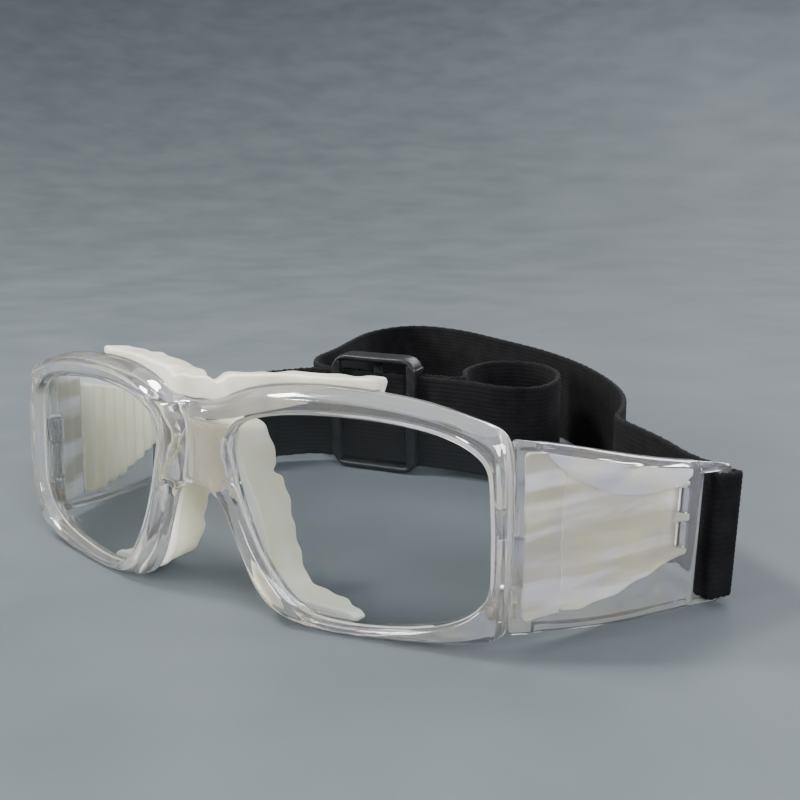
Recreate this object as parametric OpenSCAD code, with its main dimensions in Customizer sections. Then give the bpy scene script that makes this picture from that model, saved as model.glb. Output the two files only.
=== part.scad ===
// Sports protective goggles: clear one-piece front, two lenses, hinged side shields,
// silicone brow, nose and side pads, and an elastic head strap with a slider.
// The goggles lie on a surface: +Z up, +X towards the wearer's left, the wearer looks along -Y.

/* [Front] */
// Lean of the front, top towards the wearer, as it stands on a table
lean = 2.5; // [1:0.1:4]
// Wrap angle of each half of the front
wrap = 12.35; // [8:0.05:14]
// Depth of the rim in front of the lens
rim_front = 2.6; // [2:0.1:3]
// Depth of the rim behind the lens front
rim_back = 3.4; // [3:0.1:4]
// Lens thickness
lens_t = 1.8; // [1.4:0.1:2]
// How far the lens edge enters the rim's groove
groove_d = 0.6; // [0.4:0.05:0.7]

/* [Hinges] */
// Splay of the left side shield from straight back
splay_left = 26; // [20:0.5:26]
// Splay of the right side shield from straight back
splay_right = 13; // [8:0.5:26]
// Hinge barrel radius
barrel_r = 1.9; // [1.7:0.1:2]
// Hinge screw shank radius
screw_r = 0.6; // [0.5:0.05:0.7]
// Height of the shield's hinge knuckle
knuckle_h = 10; // [8:0.5:12]
// Height of each of the front's two hinge ears
ear_h = 6.3; // [5:0.1:7]

/* [Side shields] */
// Length of a side shield
shield_len = 58; // [54:0.5:60]
// Wall thickness of a side shield
shield_t = 2.4; // [2:0.1:3]
// Strap slot width
slot_w = 4.2; // [3.6:0.1:5]
// Width of the bar behind the strap slot
bar_w = 4; // [3:0.1:5]

/* [Pads] */
// Thickness of a side pad's sheet
side_pad_t = 2; // [1.5:0.1:3]
// Height of the side pad's ribs
rib_h = 1.8; // [1:0.1:2.5]
// Distance between the side pad's ribs
rib_pitch = 4.6; // [4:0.1:6]
// Depth of the nose pad behind the front
nose_depth = 17; // [10:0.5:18]
// Depth of the brow pad
brow_depth = 8.5; // [6:0.5:12]

/* [Strap] */
// Webbing width
strap_w = 28.4; // [25:0.1:28.4]
// Webbing thickness
strap_t = 1.7; // [1.3:0.1:1.8]
// Slider length along the strap
slider_l = 29; // [24:0.5:29]
// Slider height across the strap
slider_h = 36; // [34:0.5:38]

/* [Hidden] */

$fn = 48;
big = 400;                  // larger than anything that it cuts
gap = 0.3;                  // clearance between moving plastic faces
fit = 0.05;                 // radial clearance of a running fit
seat = 0.1;                 // clearance between a pad and the plastic under it
origin_x = 6.7;             // middle of the whole object, measured from the bridge
origin_y = 100.8;
lift = 19.55;               // height of the front's own origin over the table
clear = [0.86, 0.88, 0.9, 0.35];
black = [0.07, 0.07, 0.08];

// Outer outline of one half of the front, from the top of the bridge round to the nose arch
half_outline = [[-3, 27], [6, 27.2], [16, 31.4], [30, 33], [52, 31.9], [66, 28.2], [72.2, 26.4],
                [73, 20], [73.6, 6], [72.9, -8], [72, -15], [64, -18], [42, -19.4], [26, -19.3],
                [17, -15.6], [11, -1], [7, 9.2], [-3, 9.8]];
// Lens opening of one half, as a closed control polygon
opening = [[12, 5.9], [7.7, 27.1], [67.3, 27], [69.1, 8.4], [69, -13.2], [30.1, -18.9], [19.3, -9.2]];

// Seam between the front and a side shield, on the front's own plane
seam_p = 72.57;
seam_q = 0.39;
open_angle = 26;            // splay at which the shield meets its stop
hinge_n = shield_t + barrel_r + 0.25;   // hinge axis inwards from the shield's outer face
ear_gap = 0.2;
ear_top = knuckle_h / 2 + ear_gap + ear_h;
ear_root = 0.9;             // how far an ear's root enters the front
insert_r = 1.2;
insert_h = 3;
head_r = 1.5;
head_h = 0.9;
screw_end = 0.6;            // screw tip, inside the lower end of its insert

// Side shield outline: distance back from the seam, and height
shield_rear = [14.4, -16.8];
shield_outline = [[0, -14.2], [0, 25.4], [14, 22.8], [30, 19], [44, 16.2], [shield_len, shield_rear[0]],
                  [shield_len, shield_rear[1]], [44, -17], [28, -17], [14, -16.1]];
lip_t = 1.8;                // tray lip round the side pad
lip_h = 1.8;
lip_from = 7;
slot_s = shield_len - bar_w - slot_w;
slot_h = strap_w + 0.4;
slot_z = (shield_rear[0] + shield_rear[1]) / 2 + 0.1;

// Side pad outline, its lower edge stepping up towards the rear
pad_outline = [[14, -12], [14, 18.8], [22, 17], [34, 14.2], [47, 11.6], [47, -5], [42, -5.8],
               [38, -8.3], [33, -8.9], [29, -11], [22, -11.6], [19, -12.8]];
first_rib = 16;
last_rib = 46;
tab_at = 44;                // tabs of the side pad, back from the seam
tab_heights = [-2, 5.5];
tab_w = 1.6;
tab_h = 4.8;

// Brow pad: control points from the bridge along its top edge, and back along its lower edge
brow_outline = [[-3, 22.6], [-3, 33.2], [12, 33.4], [22, 34.6], [34, 34.4], [42.8, 35],
                [42.8, 31], [36, 30], [20, 27], [8, 23]];
brow_front = 0.6;
brow_peg = [7.5, 25.2];
brow_peg_r = 1.2;

// Nose pad: a wall along the nose arch, and a web between the two sides of the bridge
nose_line = [[-3, 20.8], [3, 20.8], [7, 15.6], [10, 8], [14, -2], [15.6, -11], [20, -16.2], [37, -17.4]];
nose_web = [[-3, 10.8], [-3, 22.1], [7, 22.1], [9, 17], [6.5, 10.8]];
nose_wall = 2.6;
nose_flare = 3;
nose_tail = 16;             // where the lower tail starts to be cut back
nose_tail_angle = -32;
web_t = 2.3;
nose_pegs = [[14.4, -4.8], [7.4, 14]];
nose_peg_r = 0.9;
peg_l = 2.2;

// Sewn end of the webbing, round the bar behind the slot
loop_gap = 0.15;
loop_r = loop_gap + strap_t;
loop_in = -shield_t / 2 - loop_r;
tail_l = 4.3;
tail_y = bar_w / 2 + loop_r;
tack_pitch = 2.4;
tack = [3, 0.4, 0.5];

// Slider: two rails, two end bars in front of the layers and a centre bar between them
slider_at = [-29.6, 110.8];
slider_angle = 8;
slider_foot = 2.4;          // the webbing rests on the slider's lower rail
slider_lift = 0.1;
rail_w = 2.1;
end_bar = 3;
end_bar_t = 2;
centre_bar = 3.2;
centre_bar_t = 1.2;
layer_y = strap_t + 0.9;    // outer reach of each layer from the slider's middle
window_h = slider_h - 2 * rail_w;
window_w = slider_l / 2 - end_bar - centre_bar / 2;

// A point on the straight stretch through the slider: x along it, front (-1) or rear (1) layer
function at_slider(x, layer) =
    let (along = [cos(slider_angle), sin(slider_angle)],
         p = slider_at + along * x + left_of(along) * layer * (strap_t / 2 + 0.7))
    [p[0], p[1], slider_foot];
// Strap centre line from the left shield to the right one: x, y and height of its lower edge
strap_route = [[89, 72.7, 1.3], [83.4, 75.4, 1.3], [73, 86.5, 1], [60, 97, 0.7], [51.5, 105, 0.4],
               [49.5, 115, 0.4], [41, 135, 0.4], [18, 161, 0.4], [-8, 180, 0.4], [-32, 191, 0.4],
               [-58, 203, 0.4], [-80, 203, 0.4], [-85.5, 183, 0.4], [-77.5, 160, 0.6], [-69, 140, 1.2],
               [-64, 122, 1.8], at_slider(-23, 1), at_slider(-9, 1), at_slider(4, 1),
               at_slider(18, 1), at_slider(26, 1), [-4.5, 121, 2], [-13, 134, 1.2],
               [-14, 152, 0.6], [-2, 160, 0.4], [11, 152, 0.4], [18.5, 137, 0.5], [20, 121, 1],
               [11, 114.5, 1.6], [4, 114, 2.2], at_slider(26, -1), at_slider(18, -1),
               at_slider(4, -1), at_slider(-9, -1), at_slider(-22, -1), [-57, 101, 2],
               [-64, 93.5, 1.6], [-66, 86, 1.3], [-69.5, 77.7, 1.3], [-76.5, 76.1, 1.3]];
strap_steps = 5;
run_left_end = 3;           // arcs of the route that follow each shield
run_right_start = 34;
strap_line = open_curve(strap_route, strap_steps);
open_edge = closed_curve(opening, 8);
front_edge = open_curve(half_outline, 5);

function mid(a, b) = (a + b) / 2;
function unit(v) = v / norm(v);
function left_of(v) = [-v[1], v[0]];
// One arc of a quadratic curve, from a to c, pulled towards b
function arc(a, b, c, n) =
    [for (i = [0:n - 1]) let (t = i / n) a * (1 - t) * (1 - t) + b * 2 * t * (1 - t) + c * t * t];
// Smooth closed curve inside a control polygon
function closed_curve(p, n) =
    [for (i = [0:len(p) - 1])
        let (m = len(p), a = p[i], b = p[(i + 1) % m], c = p[(i + 2) % m])
        each arc(mid(a, b), b, mid(b, c), n)];
// Smooth open curve that starts and ends on its control polygon
function open_curve(p, n) =
    [each [for (i = [1:len(p) - 2])
        let (start = i == 1 ? p[0] : mid(p[i - 1], p[i]),
             end = i == len(p) - 2 ? p[i + 1] : mid(p[i], p[i + 1]))
        each arc(start, p[i], end, n)],
     p[len(p) - 1]];
// Closed outline moved outwards by d (clockwise outlines grow)
function grow(p, d) =
    [for (i = [0:len(p) - 1])
        let (m = len(p), t = unit(p[(i + 1) % m] - p[(i + m - 1) % m]))
        p[i] + left_of(t) * d];
// Side of the line c at point i, w away, in the x and y of its points
function beside(c, i, w) =
    let (m = len(c), t = c[min(i + 1, m - 1)] - c[max(i - 1, 0)], n = left_of(unit([t[0], t[1]])))
    [c[i][0] + n[0] * w, c[i][1] + n[1] * w];
// Outline of a band of width w along an open curve
function band(c, w) =
    concat([for (i = [0:len(c) - 1]) beside(c, i, w / 2)],
           [for (i = [len(c) - 1:-1:0]) beside(c, i, -w / 2)]);

// The table is z = 0
module on_table() translate([-origin_x, -origin_y, 0]) children();
// The front's own frame
module leaned() on_table() translate([0, 0, lift]) rotate([-lean, 0, 0]) children();
module above_table() intersection() {
    children();
    translate([-big / 2, -big / 2, 0]) cube(big);
}
// Draws the left half as it is, and the right half mirrored
module side(s) {
    if (s > 0) children();
    else mirror([1, 0, 0]) children();
}
module both_sides() for (s = [1, -1]) side(s) children();
// One half of the front: x along its face, y backwards
module half_face() rotate([0, 0, wrap]) children();
module left_half() intersection() {
    children();
    translate([0, -big / 2, -big / 2]) cube(big);
}
// Extrudes an outline drawn in x and z backwards from y = a to y = b
module slab(a, b) translate([0, b, 0]) rotate([90, 0, 0]) linear_extrude(b - a) children();
module upright(r, a, b) translate([0, 0, a]) cylinder(r = r, h = b - a);
module peg(at, r, a, b) translate([at[0], 0, at[1]]) slab(a, b) circle(r = r);
// A shield at its stop: x outwards from its outer face, y back from the seam
module at_seam() half_face() translate([seam_p, seam_q, 0]) rotate([0, 0, -open_angle - wrap]) children();
module at_hinge() at_seam() translate([-hinge_n, barrel_r, 0]) children();
// A shield's own frame, folded inwards from its stop to its splay
module at_shield(splay)
    at_hinge() rotate([0, 0, open_angle - splay]) translate([hinge_n, -barrel_r, 0]) children();

module hinge_ears() difference() {
    for (z = [knuckle_h / 2 + ear_gap, -ear_top]) {
        at_hinge() upright(barrel_r, z, z + ear_h);
        at_hinge() translate([-barrel_r, -barrel_r - ear_root, z])
            cube([2 * barrel_r, barrel_r + ear_root, ear_h]);
    }
    at_hinge() upright(screw_r + fit, -big / 2, big / 2);
    at_hinge() upright(insert_r, -ear_top - 1, -ear_top + insert_h);
}
module half_front() {
    difference() {
        left_half() half_face() slab(-rim_front, rim_back) polygon(front_edge);
        half_face() slab(-rim_front - 1, rim_back + 1) polygon(open_edge);
        half_face() slab(0, lens_t) polygon(grow(open_edge, groove_d));
        // Rear face cut square to the open shield
        at_seam() translate([-7, -gap, -big / 2]) cube([20, 20, big]);
        for (at = nose_pegs) half_face() peg(at, nose_peg_r + fit, rim_back - peg_l, rim_back + 1);
    }
    hinge_ears();
}
module front_frame() color(clear) above_table() leaned() difference() {
    both_sides() half_front();
    both_sides() peg(brow_peg, brow_peg_r + fit, rim_back - peg_l, rim_back + 5);
}

module lens(s) color([0.8, 0.82, 0.95, 0.3])
    leaned() side(s) half_face() slab(0, lens_t) polygon(grow(open_edge, groove_d - fit));
module lens_left() lens(1);
module lens_right() lens(-1);

// Brow pad: lies on the top edge of the front, and reaches down behind it
module half_brow() difference() {
    left_half() half_face() slab(brow_front, brow_depth) polygon(open_curve(brow_outline, 4));
    half_face() slab(-big, rim_back + seat) polygon(grow(front_edge, seat));
}
module brow_pad() color("ivory") leaned() {
    both_sides() half_brow();
    both_sides() peg(brow_peg, brow_peg_r, rim_back - peg_l + seat, brow_depth - 1);
}

// Nose pad: a saddle wall that follows the nose arch backwards, and flares out
module half_nose() difference() {
    left_half() half_face() translate([0, rim_back, 0]) rotate([0, 0, -wrap - nose_flare])
        slab(-3, nose_depth) polygon(band(open_curve(nose_line, 6), nose_wall));
    half_face() translate([-big / 2, rim_back + seat - big, -big / 2]) cube(big);
    // Lower tail, cut back towards its end
    half_face() translate([nose_tail, rim_back + nose_depth + 1, -big / 2])
        rotate([0, 0, nose_tail_angle]) cube(big);
}
module nose_pad() color([0.87, 0.88, 0.78]) above_table() leaned() both_sides() {
    half_nose();
    left_half() half_face() slab(rim_back + seat, rim_back + seat + web_t) polygon(closed_curve(nose_web, 4));
    for (at = nose_pegs) half_face() peg(at, nose_peg_r, rim_back - peg_l + seat, rim_back + web_t / 2);
}

// An outline drawn in the shield's length and height, a to b inwards from its outer face
module shield_wall(a, b, p) rotate([0, 0, 90]) slab(a, b) polygon(p);
// Everything across the shield between two distances from the seam
module shield_span(a, b) translate([-big / 2, a, -big / 2]) cube([big, b - a, big]);
module tray_lip() difference() {
    shield_wall(shield_t - 0.5, shield_t + lip_h, shield_outline);
    shield_wall(shield_t - 1, shield_t + lip_h + 1, grow(shield_outline, -lip_t));
    shield_span(-1, lip_from);
    shield_span(slot_s - lip_t, shield_len + 1);
}
// Side shield: its wall stands on its outer face, and x is negative inwards
module side_shield(s, splay) color(clear) above_table() leaned() side(s) at_shield(splay) difference() {
    union() {
        shield_wall(0, shield_t, shield_outline);
        tray_lip();
        translate([-hinge_n, barrel_r, 0]) upright(barrel_r, -knuckle_h / 2, knuckle_h / 2);
        translate([-hinge_n, 0, -knuckle_h / 2]) cube([hinge_n - 0.5, 2 * barrel_r, knuckle_h]);
    }
    translate([-hinge_n, barrel_r, 0]) upright(screw_r + fit, -big / 2, big / 2);
    translate([-big / 2, slot_s, slot_z - slot_h / 2]) cube([big, slot_w, slot_h]);
    for (z = tab_heights) translate([-big / 2, tab_at - tab_w / 2 - seat, z - seat])
        cube([big, tab_w + 2 * seat, tab_h + 2 * seat]);
}
module side_shield_left() side_shield(1, splay_left);
module side_shield_right() side_shield(-1, splay_right);

// Side pad: a sheet in the shield's tray, with upright ribs towards the head
module side_pad(s, splay) color([0.9, 0.9, 0.78]) leaned() side(s) at_shield(splay) {
    shield_wall(shield_t + seat, shield_t + seat + side_pad_t, pad_outline);
    intersection() {
        shield_wall(shield_t + seat, big, pad_outline);
        for (y = [first_rib:rib_pitch:last_rib])
            translate([-shield_t - side_pad_t, y, 0]) upright(rib_h, -big / 2, big / 2);
    }
    for (z = tab_heights)
        translate([-shield_t - seat - 0.5, tab_at - tab_w / 2, z]) cube([shield_t + 0.3, tab_w, tab_h]);
}
module side_pad_left() side_pad(1, splay_left);
module side_pad_right() side_pad(-1, splay_right);

module hinge_screw(s) color("silver") leaned() side(s) at_hinge() {
    upright(screw_r, -ear_top + screw_end, ear_top);
    upright(head_r, ear_top, ear_top + head_h);
}
module hinge_screw_left() hinge_screw(1);
module hinge_screw_right() hinge_screw(-1);

module hinge_insert(s) color("goldenrod") leaned() side(s) at_hinge() difference() {
    upright(insert_r, -ear_top, -ear_top + insert_h);
    upright(screw_r + fit, -ear_top - 1, 0);
}
module hinge_insert_left() hinge_insert(1);
module hinge_insert_right() hinge_insert(-1);

module at_bar() translate([-shield_t / 2, shield_len - bar_w / 2, slot_z - strap_w / 2]) children();
// The bar's section grown by d, with round corners
module loop_outline(d) {
    square([shield_t + 2 * d, bar_w], center = true);
    square([shield_t, bar_w + 2 * d], center = true);
    for (x = [-1, 1], y = [-1, 1]) translate([x * shield_t / 2, y * bar_w / 2]) circle(r = d);
}
module sewn_loop() {
    difference() {
        loop_outline(loop_r);
        loop_outline(loop_gap);
    }
    translate([loop_in - tail_l, tail_y - strap_t]) square([tail_l + loop_r, strap_t]);
    translate([loop_in - tail_l, tail_y - 2 * strap_t]) square([tail_l + strap_t, strap_t]);
}
module strap_anchor(s, splay)
    color(black) leaned() side(s) at_shield(splay) at_bar() linear_extrude(strap_w) sewn_loop();
module strap_anchor_left() strap_anchor(1, splay_left);
module strap_anchor_right() strap_anchor(-1, splay_right);

// Bar tack: the zigzag thread that closes the sewn loop
module bar_tack(s, splay) color([0.2, 0.2, 0.22]) leaned() side(s) at_shield(splay) at_bar()
    for (z = [1.6:tack_pitch:strap_w - 2], y = [tail_y - 0.05, tail_y - 2 * strap_t - tack[1] + 0.05])
        translate([loop_in - tail_l + 0.8, y, z]) cube(tack);
module bar_tack_left() bar_tack(1, splay_left);
module bar_tack_right() bar_tack(-1, splay_right);

// A stretch of the webbing, standing on its lower edge
module webbing(a, b) {
    points = [for (i = [a:b])
        let (l = beside(strap_line, i, strap_t / 2),
             r = beside(strap_line, i, -strap_t / 2),
             z = strap_line[i][2])
        each [[l[0], l[1], z], [r[0], r[1], z], [r[0], r[1], z + strap_w], [l[0], l[1], z + strap_w]]];
    m = b - a;
    sides = [for (i = [0:m - 1], k = [0:3])
        let (p = 4 * i + k, q = 4 * i + (k + 1) % 4)
        each [[p, q, q + 4], [p, q + 4, p + 4]]];
    ends = [[3, 2, 1, 0], [for (k = [0:3]) 4 * m + k]];
    color(black) on_table() polyhedron(points, concat(sides, ends));
}
module strap_run_left() webbing(0, run_left_end * strap_steps);
module strap_webbing() webbing(run_left_end * strap_steps, run_right_start * strap_steps);
module strap_run_right() webbing(run_right_start * strap_steps, len(strap_line) - 1);

module slider_outline(w, h, r) {
    square([w, h - 2 * r], center = true);
    square([w - 2 * r, h], center = true);
    for (x = [-1, 1], y = [-1, 1]) translate([x * (w / 2 - r), y * (h / 2 - r)]) circle(r = r);
}
module strap_slider() color(black) on_table()
    translate([slider_at[0], slider_at[1], slider_lift + slider_h / 2]) rotate([0, 0, slider_angle]) {
        difference() {
            slab(-layer_y - end_bar_t, layer_y) slider_outline(slider_l, slider_h, 4);
            slab(-layer_y, layer_y + 1) square([slider_l + 1, window_h], center = true);
            for (x = [-1, 1]) translate([x * (centre_bar + window_w) / 2, 0, 0])
                slab(-big, 0) square([window_w, window_h], center = true);
            slab(-big, 0) square([centre_bar + 0.1, window_h], center = true);
        }
        slab(-centre_bar_t / 2, centre_bar_t / 2) square([centre_bar, window_h], center = true);
    }

front_frame();
lens_left();
lens_right();
brow_pad();
nose_pad();
side_shield_left();
side_shield_right();
side_pad_left();
side_pad_right();
hinge_screw_left();
hinge_screw_right();
hinge_insert_left();
hinge_insert_right();
strap_anchor_left();
strap_anchor_right();
bar_tack_left();
bar_tack_right();
strap_run_left();
strap_run_right();
strap_webbing();
strap_slider();
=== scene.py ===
import math

import bmesh
import bpy
import numpy as np
from mathutils import Matrix, Vector


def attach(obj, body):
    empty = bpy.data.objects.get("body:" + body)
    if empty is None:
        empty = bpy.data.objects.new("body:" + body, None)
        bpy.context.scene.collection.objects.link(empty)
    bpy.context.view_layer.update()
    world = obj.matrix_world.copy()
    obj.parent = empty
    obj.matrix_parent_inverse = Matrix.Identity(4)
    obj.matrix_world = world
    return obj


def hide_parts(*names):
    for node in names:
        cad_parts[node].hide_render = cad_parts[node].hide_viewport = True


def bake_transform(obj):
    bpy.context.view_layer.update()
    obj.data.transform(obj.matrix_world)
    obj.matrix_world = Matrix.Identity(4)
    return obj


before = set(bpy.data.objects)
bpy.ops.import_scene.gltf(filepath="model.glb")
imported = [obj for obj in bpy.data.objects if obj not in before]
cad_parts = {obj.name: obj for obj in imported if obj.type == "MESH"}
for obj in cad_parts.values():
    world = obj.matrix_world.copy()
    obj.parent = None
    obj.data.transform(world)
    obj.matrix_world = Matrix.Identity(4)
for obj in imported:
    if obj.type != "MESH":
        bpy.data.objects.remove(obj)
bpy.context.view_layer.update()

MM = 0.001
NEARLY = 1e-6

# ---------------------------------------------------------------- the design's own dimensions, in mm
# The front leans back, and each of its halves turns back from the bridge
LEAN, WRAP = math.radians(2.5), math.radians(12.35)
# The row frame's origin from the bridge, and the height of the front's own origin over the table
ORIGIN_X, ORIGIN_Y, LIFT = 6.7, 100.8, 19.55
# Rim depth before and behind the lens's front, then the lens, its groove and their clearance
RIM_FRONT, RIM_BACK = 2.6, 3.4
LENS_T, GROOVE_D, PLAY = 1.8, 0.6, 0.05
# Seam between the front and a shield: along the front, and behind its middle plane
SEAM_P, SEAM_Q = 72.57, 0.39
# Splay from straight back: of a shield against its stop, and of each shield in the photograph
OPEN_ANGLE = math.radians(26)
SPLAY = {"left": math.radians(26), "right": math.radians(13)}
SIDE = {"left": 1, "right": -1}
# Shields, their strap slots and bars, the webbing, and the hinge axis inward from a shield's face
SHIELD_T, SHIELD_LEN = 2.4, 58.0
SLOT_W, BAR_W = 4.2, 4.0
SLOT_S = SHIELD_LEN - BAR_W - SLOT_W
SLOT_Z = -1.1
STRAP_W, STRAP_T = 28.4, 1.7
BARREL_R = 1.9
HINGE_N = SHIELD_T + BARREL_R + 0.25
# The bend between the two halves, and how far a shield's rear edge slants below its top
BRIDGE_ROUND = 4.0
REAR_SLANT, SHIELD_REAR_TOP = 0.045, 14.4

# Outer outline of one half of the front, from the top of the bridge round to the nose arch
HALF_OUTLINE = [(-3, 27), (6, 27.2), (16, 31.4), (30, 33), (52, 31.9), (66, 28.2), (72.2, 26.4),
                (73, 20), (73.6, 6), (72.9, -8), (72, -15), (64, -18), (42, -19.4), (26, -19.3),
                (16.4, -15.9), (10.4, -1.4), (6.6, 8.4), (-3, 8.8)]
# Control polygon of one half's lens opening
OPENING = [(12, 5.9), (7.7, 27.1), (67.3, 27), (69.1, 8.4), (69, -13.2), (30.1, -18.9), (19.3, -9.2)]


# ---------------------------------------------------------------- curves and frames
def arc(a, b, c, where):
    """Points of a parabola from a to c that heads for b at both ends; where runs from 0 to 1."""
    t = where[:, None]
    return a * (1 - t) ** 2 + b * 2 * t * (1 - t) + c * t * t


def closed_curve(points, n):
    """Smooth closed curve inside a control polygon."""
    p = np.array(points, float)
    t = np.arange(n) / n
    after, later = np.roll(p, -1, 0), np.roll(p, -2, 0)
    return np.concatenate([arc((a + b) / 2, b, (b + c) / 2, t) for a, b, c in zip(p, after, later)])


def open_curve(points, n):
    """Smooth curve that starts and ends on its control polygon."""
    p = np.array(points, float)
    last = len(p) - 2
    out = []
    for i in range(1, last + 1):
        start = p[0] if i == 1 else (p[i - 1] + p[i]) / 2
        end = p[-1] if i == last else (p[i] + p[i + 1]) / 2
        out.append(arc(start, p[i], end, np.arange(n) / n))
    return np.concatenate([*out, p[-1:]])


def lengths(line):
    """Distance along a line at each of its points."""
    return np.concatenate([[0], np.cumsum(np.linalg.norm(np.diff(line, axis=0), axis=1))])


def at_length(line, where):
    """Points at given distances along a line."""
    s = lengths(line)
    return np.stack([np.interp(where, s, line[:, k]) for k in range(line.shape[1])], 1)


def tangents(line, closed=False):
    """Unit directions of a line at each of its points."""
    if closed:
        t = np.roll(line, -1, 0) - np.roll(line, 1, 0)
    else:
        t = np.gradient(line, axis=0)
    return t / np.maximum(np.linalg.norm(t, axis=1, keepdims=True), 1e-9)


def left_of(t):
    """Each direction turned a quarter turn to the left."""
    return np.stack([-t[:, 1], t[:, 0]], 1)


def full_turn(steps):
    """Angles spaced evenly round a circle."""
    return np.arange(steps) / steps * 2 * math.pi


def turn(x, y, angle):
    """A plane point turned about the origin."""
    return x * math.cos(angle) - y * math.sin(angle), x * math.sin(angle) + y * math.cos(angle)


def on_table(x, y, z):
    """Plan position and height above the floor, in mm, to the row frame, in metres."""
    return np.stack(np.broadcast_arrays(x - ORIGIN_X, y - ORIGIN_Y, z), -1) * MM


def to_row(x, y, z, side=1):
    """The front's own frame, in mm, to the row frame, in metres."""
    back, up = turn(y, z, -LEAN)
    return on_table(side * x, back, up + LIFT)


def on_front(p, z, q, side=1):
    """A point p along the front, z up and q behind its middle plane. The two halves meet in a smooth bend."""
    reach = np.sqrt(p * p + BRIDGE_ROUND ** 2)
    angle = WRAP * p / reach
    return to_row(p * math.cos(WRAP) - q * np.sin(angle), reach * math.sin(WRAP) + q * np.cos(angle), z, side)


def at_hinge(x, y, z, side):
    """A point given from the hinge's axis, with the shield shut in line with the front."""
    x, y = turn(x - HINGE_N, y + BARREL_R, -OPEN_ANGLE - WRAP)
    x, y = turn(x + SEAM_P, y + SEAM_Q, WRAP)
    return to_row(x, y, z, side)


def on_shield(inward, s, z, name):
    """A point of a side shield: inward from its outer face, s back from the seam."""
    s = s - REAR_SLANT * (SHIELD_REAR_TOP - z) * smooth((s - 28) / 20)
    x, y = turn(HINGE_N - inward, s - BARREL_R, OPEN_ANGLE - SPLAY[name])
    return at_hinge(x, y, z, SIDE[name])


def behind_front(p, q):
    """How far back a point q behind the front's middle plane is, at p from the bridge."""
    return math.sin(WRAP) * math.hypot(p, BRIDGE_ROUND) + q * math.cos(WRAP)


def smooth(t):
    """A soft step: 0 up to t = 0, and 1 from t = 1 on."""
    t = np.clip(t, 0, 1)
    return t * t * (3 - 2 * t)


def between(s, start, end, fade_in, fade_out):
    """1 well inside start and end, falling softly to 0 at each."""
    return smooth((s - start) / fade_in) * smooth((end - s) / fade_out)


# ---------------------------------------------------------------- meshes
def in_scene(name, data):
    """A new object in the scene."""
    thing = bpy.data.objects.new(name, data)
    bpy.context.scene.collection.objects.link(thing)
    return thing


def new_piece(name, points, faces, material, angle=40, weave=None):
    mesh = bpy.data.meshes.new(name)
    mesh.from_pydata([tuple(p) for p in points], [], [tuple(int(i) for i in f) for f in faces])
    if weave is not None:
        mesh.attributes.new("weave", "FLOAT_VECTOR", "POINT").data.foreach_set("vector", weave.ravel())
    bm = bmesh.new()
    bm.from_mesh(mesh)
    bmesh.ops.remove_doubles(bm, verts=bm.verts, dist=1e-6)
    bmesh.ops.dissolve_degenerate(bm, edges=bm.edges, dist=1e-7)
    loose = [v for v in bm.verts if not v.link_faces]
    bmesh.ops.delete(bm, geom=loose, context="VERTS")
    bmesh.ops.recalc_face_normals(bm, faces=bm.faces)
    bm.to_mesh(mesh)
    bm.free()
    mesh.materials.append(material)
    piece = in_scene(name, mesh)
    mesh.shade_smooth()
    mesh.set_sharp_from_angle(angle=math.radians(angle))
    return piece


def joined(*parts):
    """Several (points, faces) as one."""
    points, faces, count = [], [], 0
    for p, f in parts:
        points.append(np.asarray(p, float))
        faces += [tuple(int(i) + count for i in face) for face in f]
        count += len(p)
    return np.concatenate(points), faces


def grid_faces(rows, columns, wrap_rows=False, wrap_columns=False):
    out = []
    for i in range(rows if wrap_rows else rows - 1):
        for j in range(columns if wrap_columns else columns - 1):
            a, b = i * columns + j, i * columns + (j + 1) % columns
            c, d = (i + 1) % rows * columns + (j + 1) % columns, (i + 1) % rows * columns + j
            out.append((a, b, c, d))
    return out


def swept(rows):
    """Rings of points joined in turn, with a flat cap on both ends."""
    count = len(rows[0])
    points = np.concatenate(rows)
    caps = [tuple(range(count)), tuple(range(len(points) - count, len(points)))]
    return points, grid_faces(len(rows), count, False, True) + caps


def graded(length, fine, count):
    """Positions across a section, close together near both of its ends."""
    near = np.array([0, 0.03, 0.12, 0.28, 0.5, 0.75, 1.0]) * fine
    near = near * np.minimum(1, length / (2.6 * fine))[:, None]
    share = np.linspace(0, 1, count + 2)[1:-1]
    middle = near[:, -1:] + (length[:, None] - 2 * near[:, -1:]) * share
    return np.concatenate([near, middle, length[:, None] - near[:, ::-1]], 1)


def boundary_edges(faces):
    seen = {}
    for f in faces:
        for a, b in zip(f, (*f[1:], f[0])):
            key = (min(a, b), max(a, b))
            seen[key] = None if key in seen else (a, b)
    return [e for e in seen.values() if e is not None]


def distance_to(points, edges):
    """Distance in the plane from every point to the nearest of some edges."""
    a, b = points[[e[0] for e in edges]], points[[e[1] for e in edges]]
    ab = b - a
    size = np.maximum((ab ** 2).sum(1), 1e-12)
    out = np.empty(len(points))
    for i in range(0, len(points), 500):
        ap = points[i:i + 500, None] - a[None]
        t = np.clip((ap * ab).sum(2) / size, 0, 1)
        out[i:i + 500] = np.sqrt(((ap - t[..., None] * ab) ** 2).sum(2).min(1))
    return out


def rounded(distance, radius):
    """0 beyond the radius, and 1 at the edge, along a quarter circle."""
    t = np.clip(1 - distance / radius, 0, 1)
    return 1 - np.sqrt(np.maximum(1 - t * t, 0))


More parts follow.
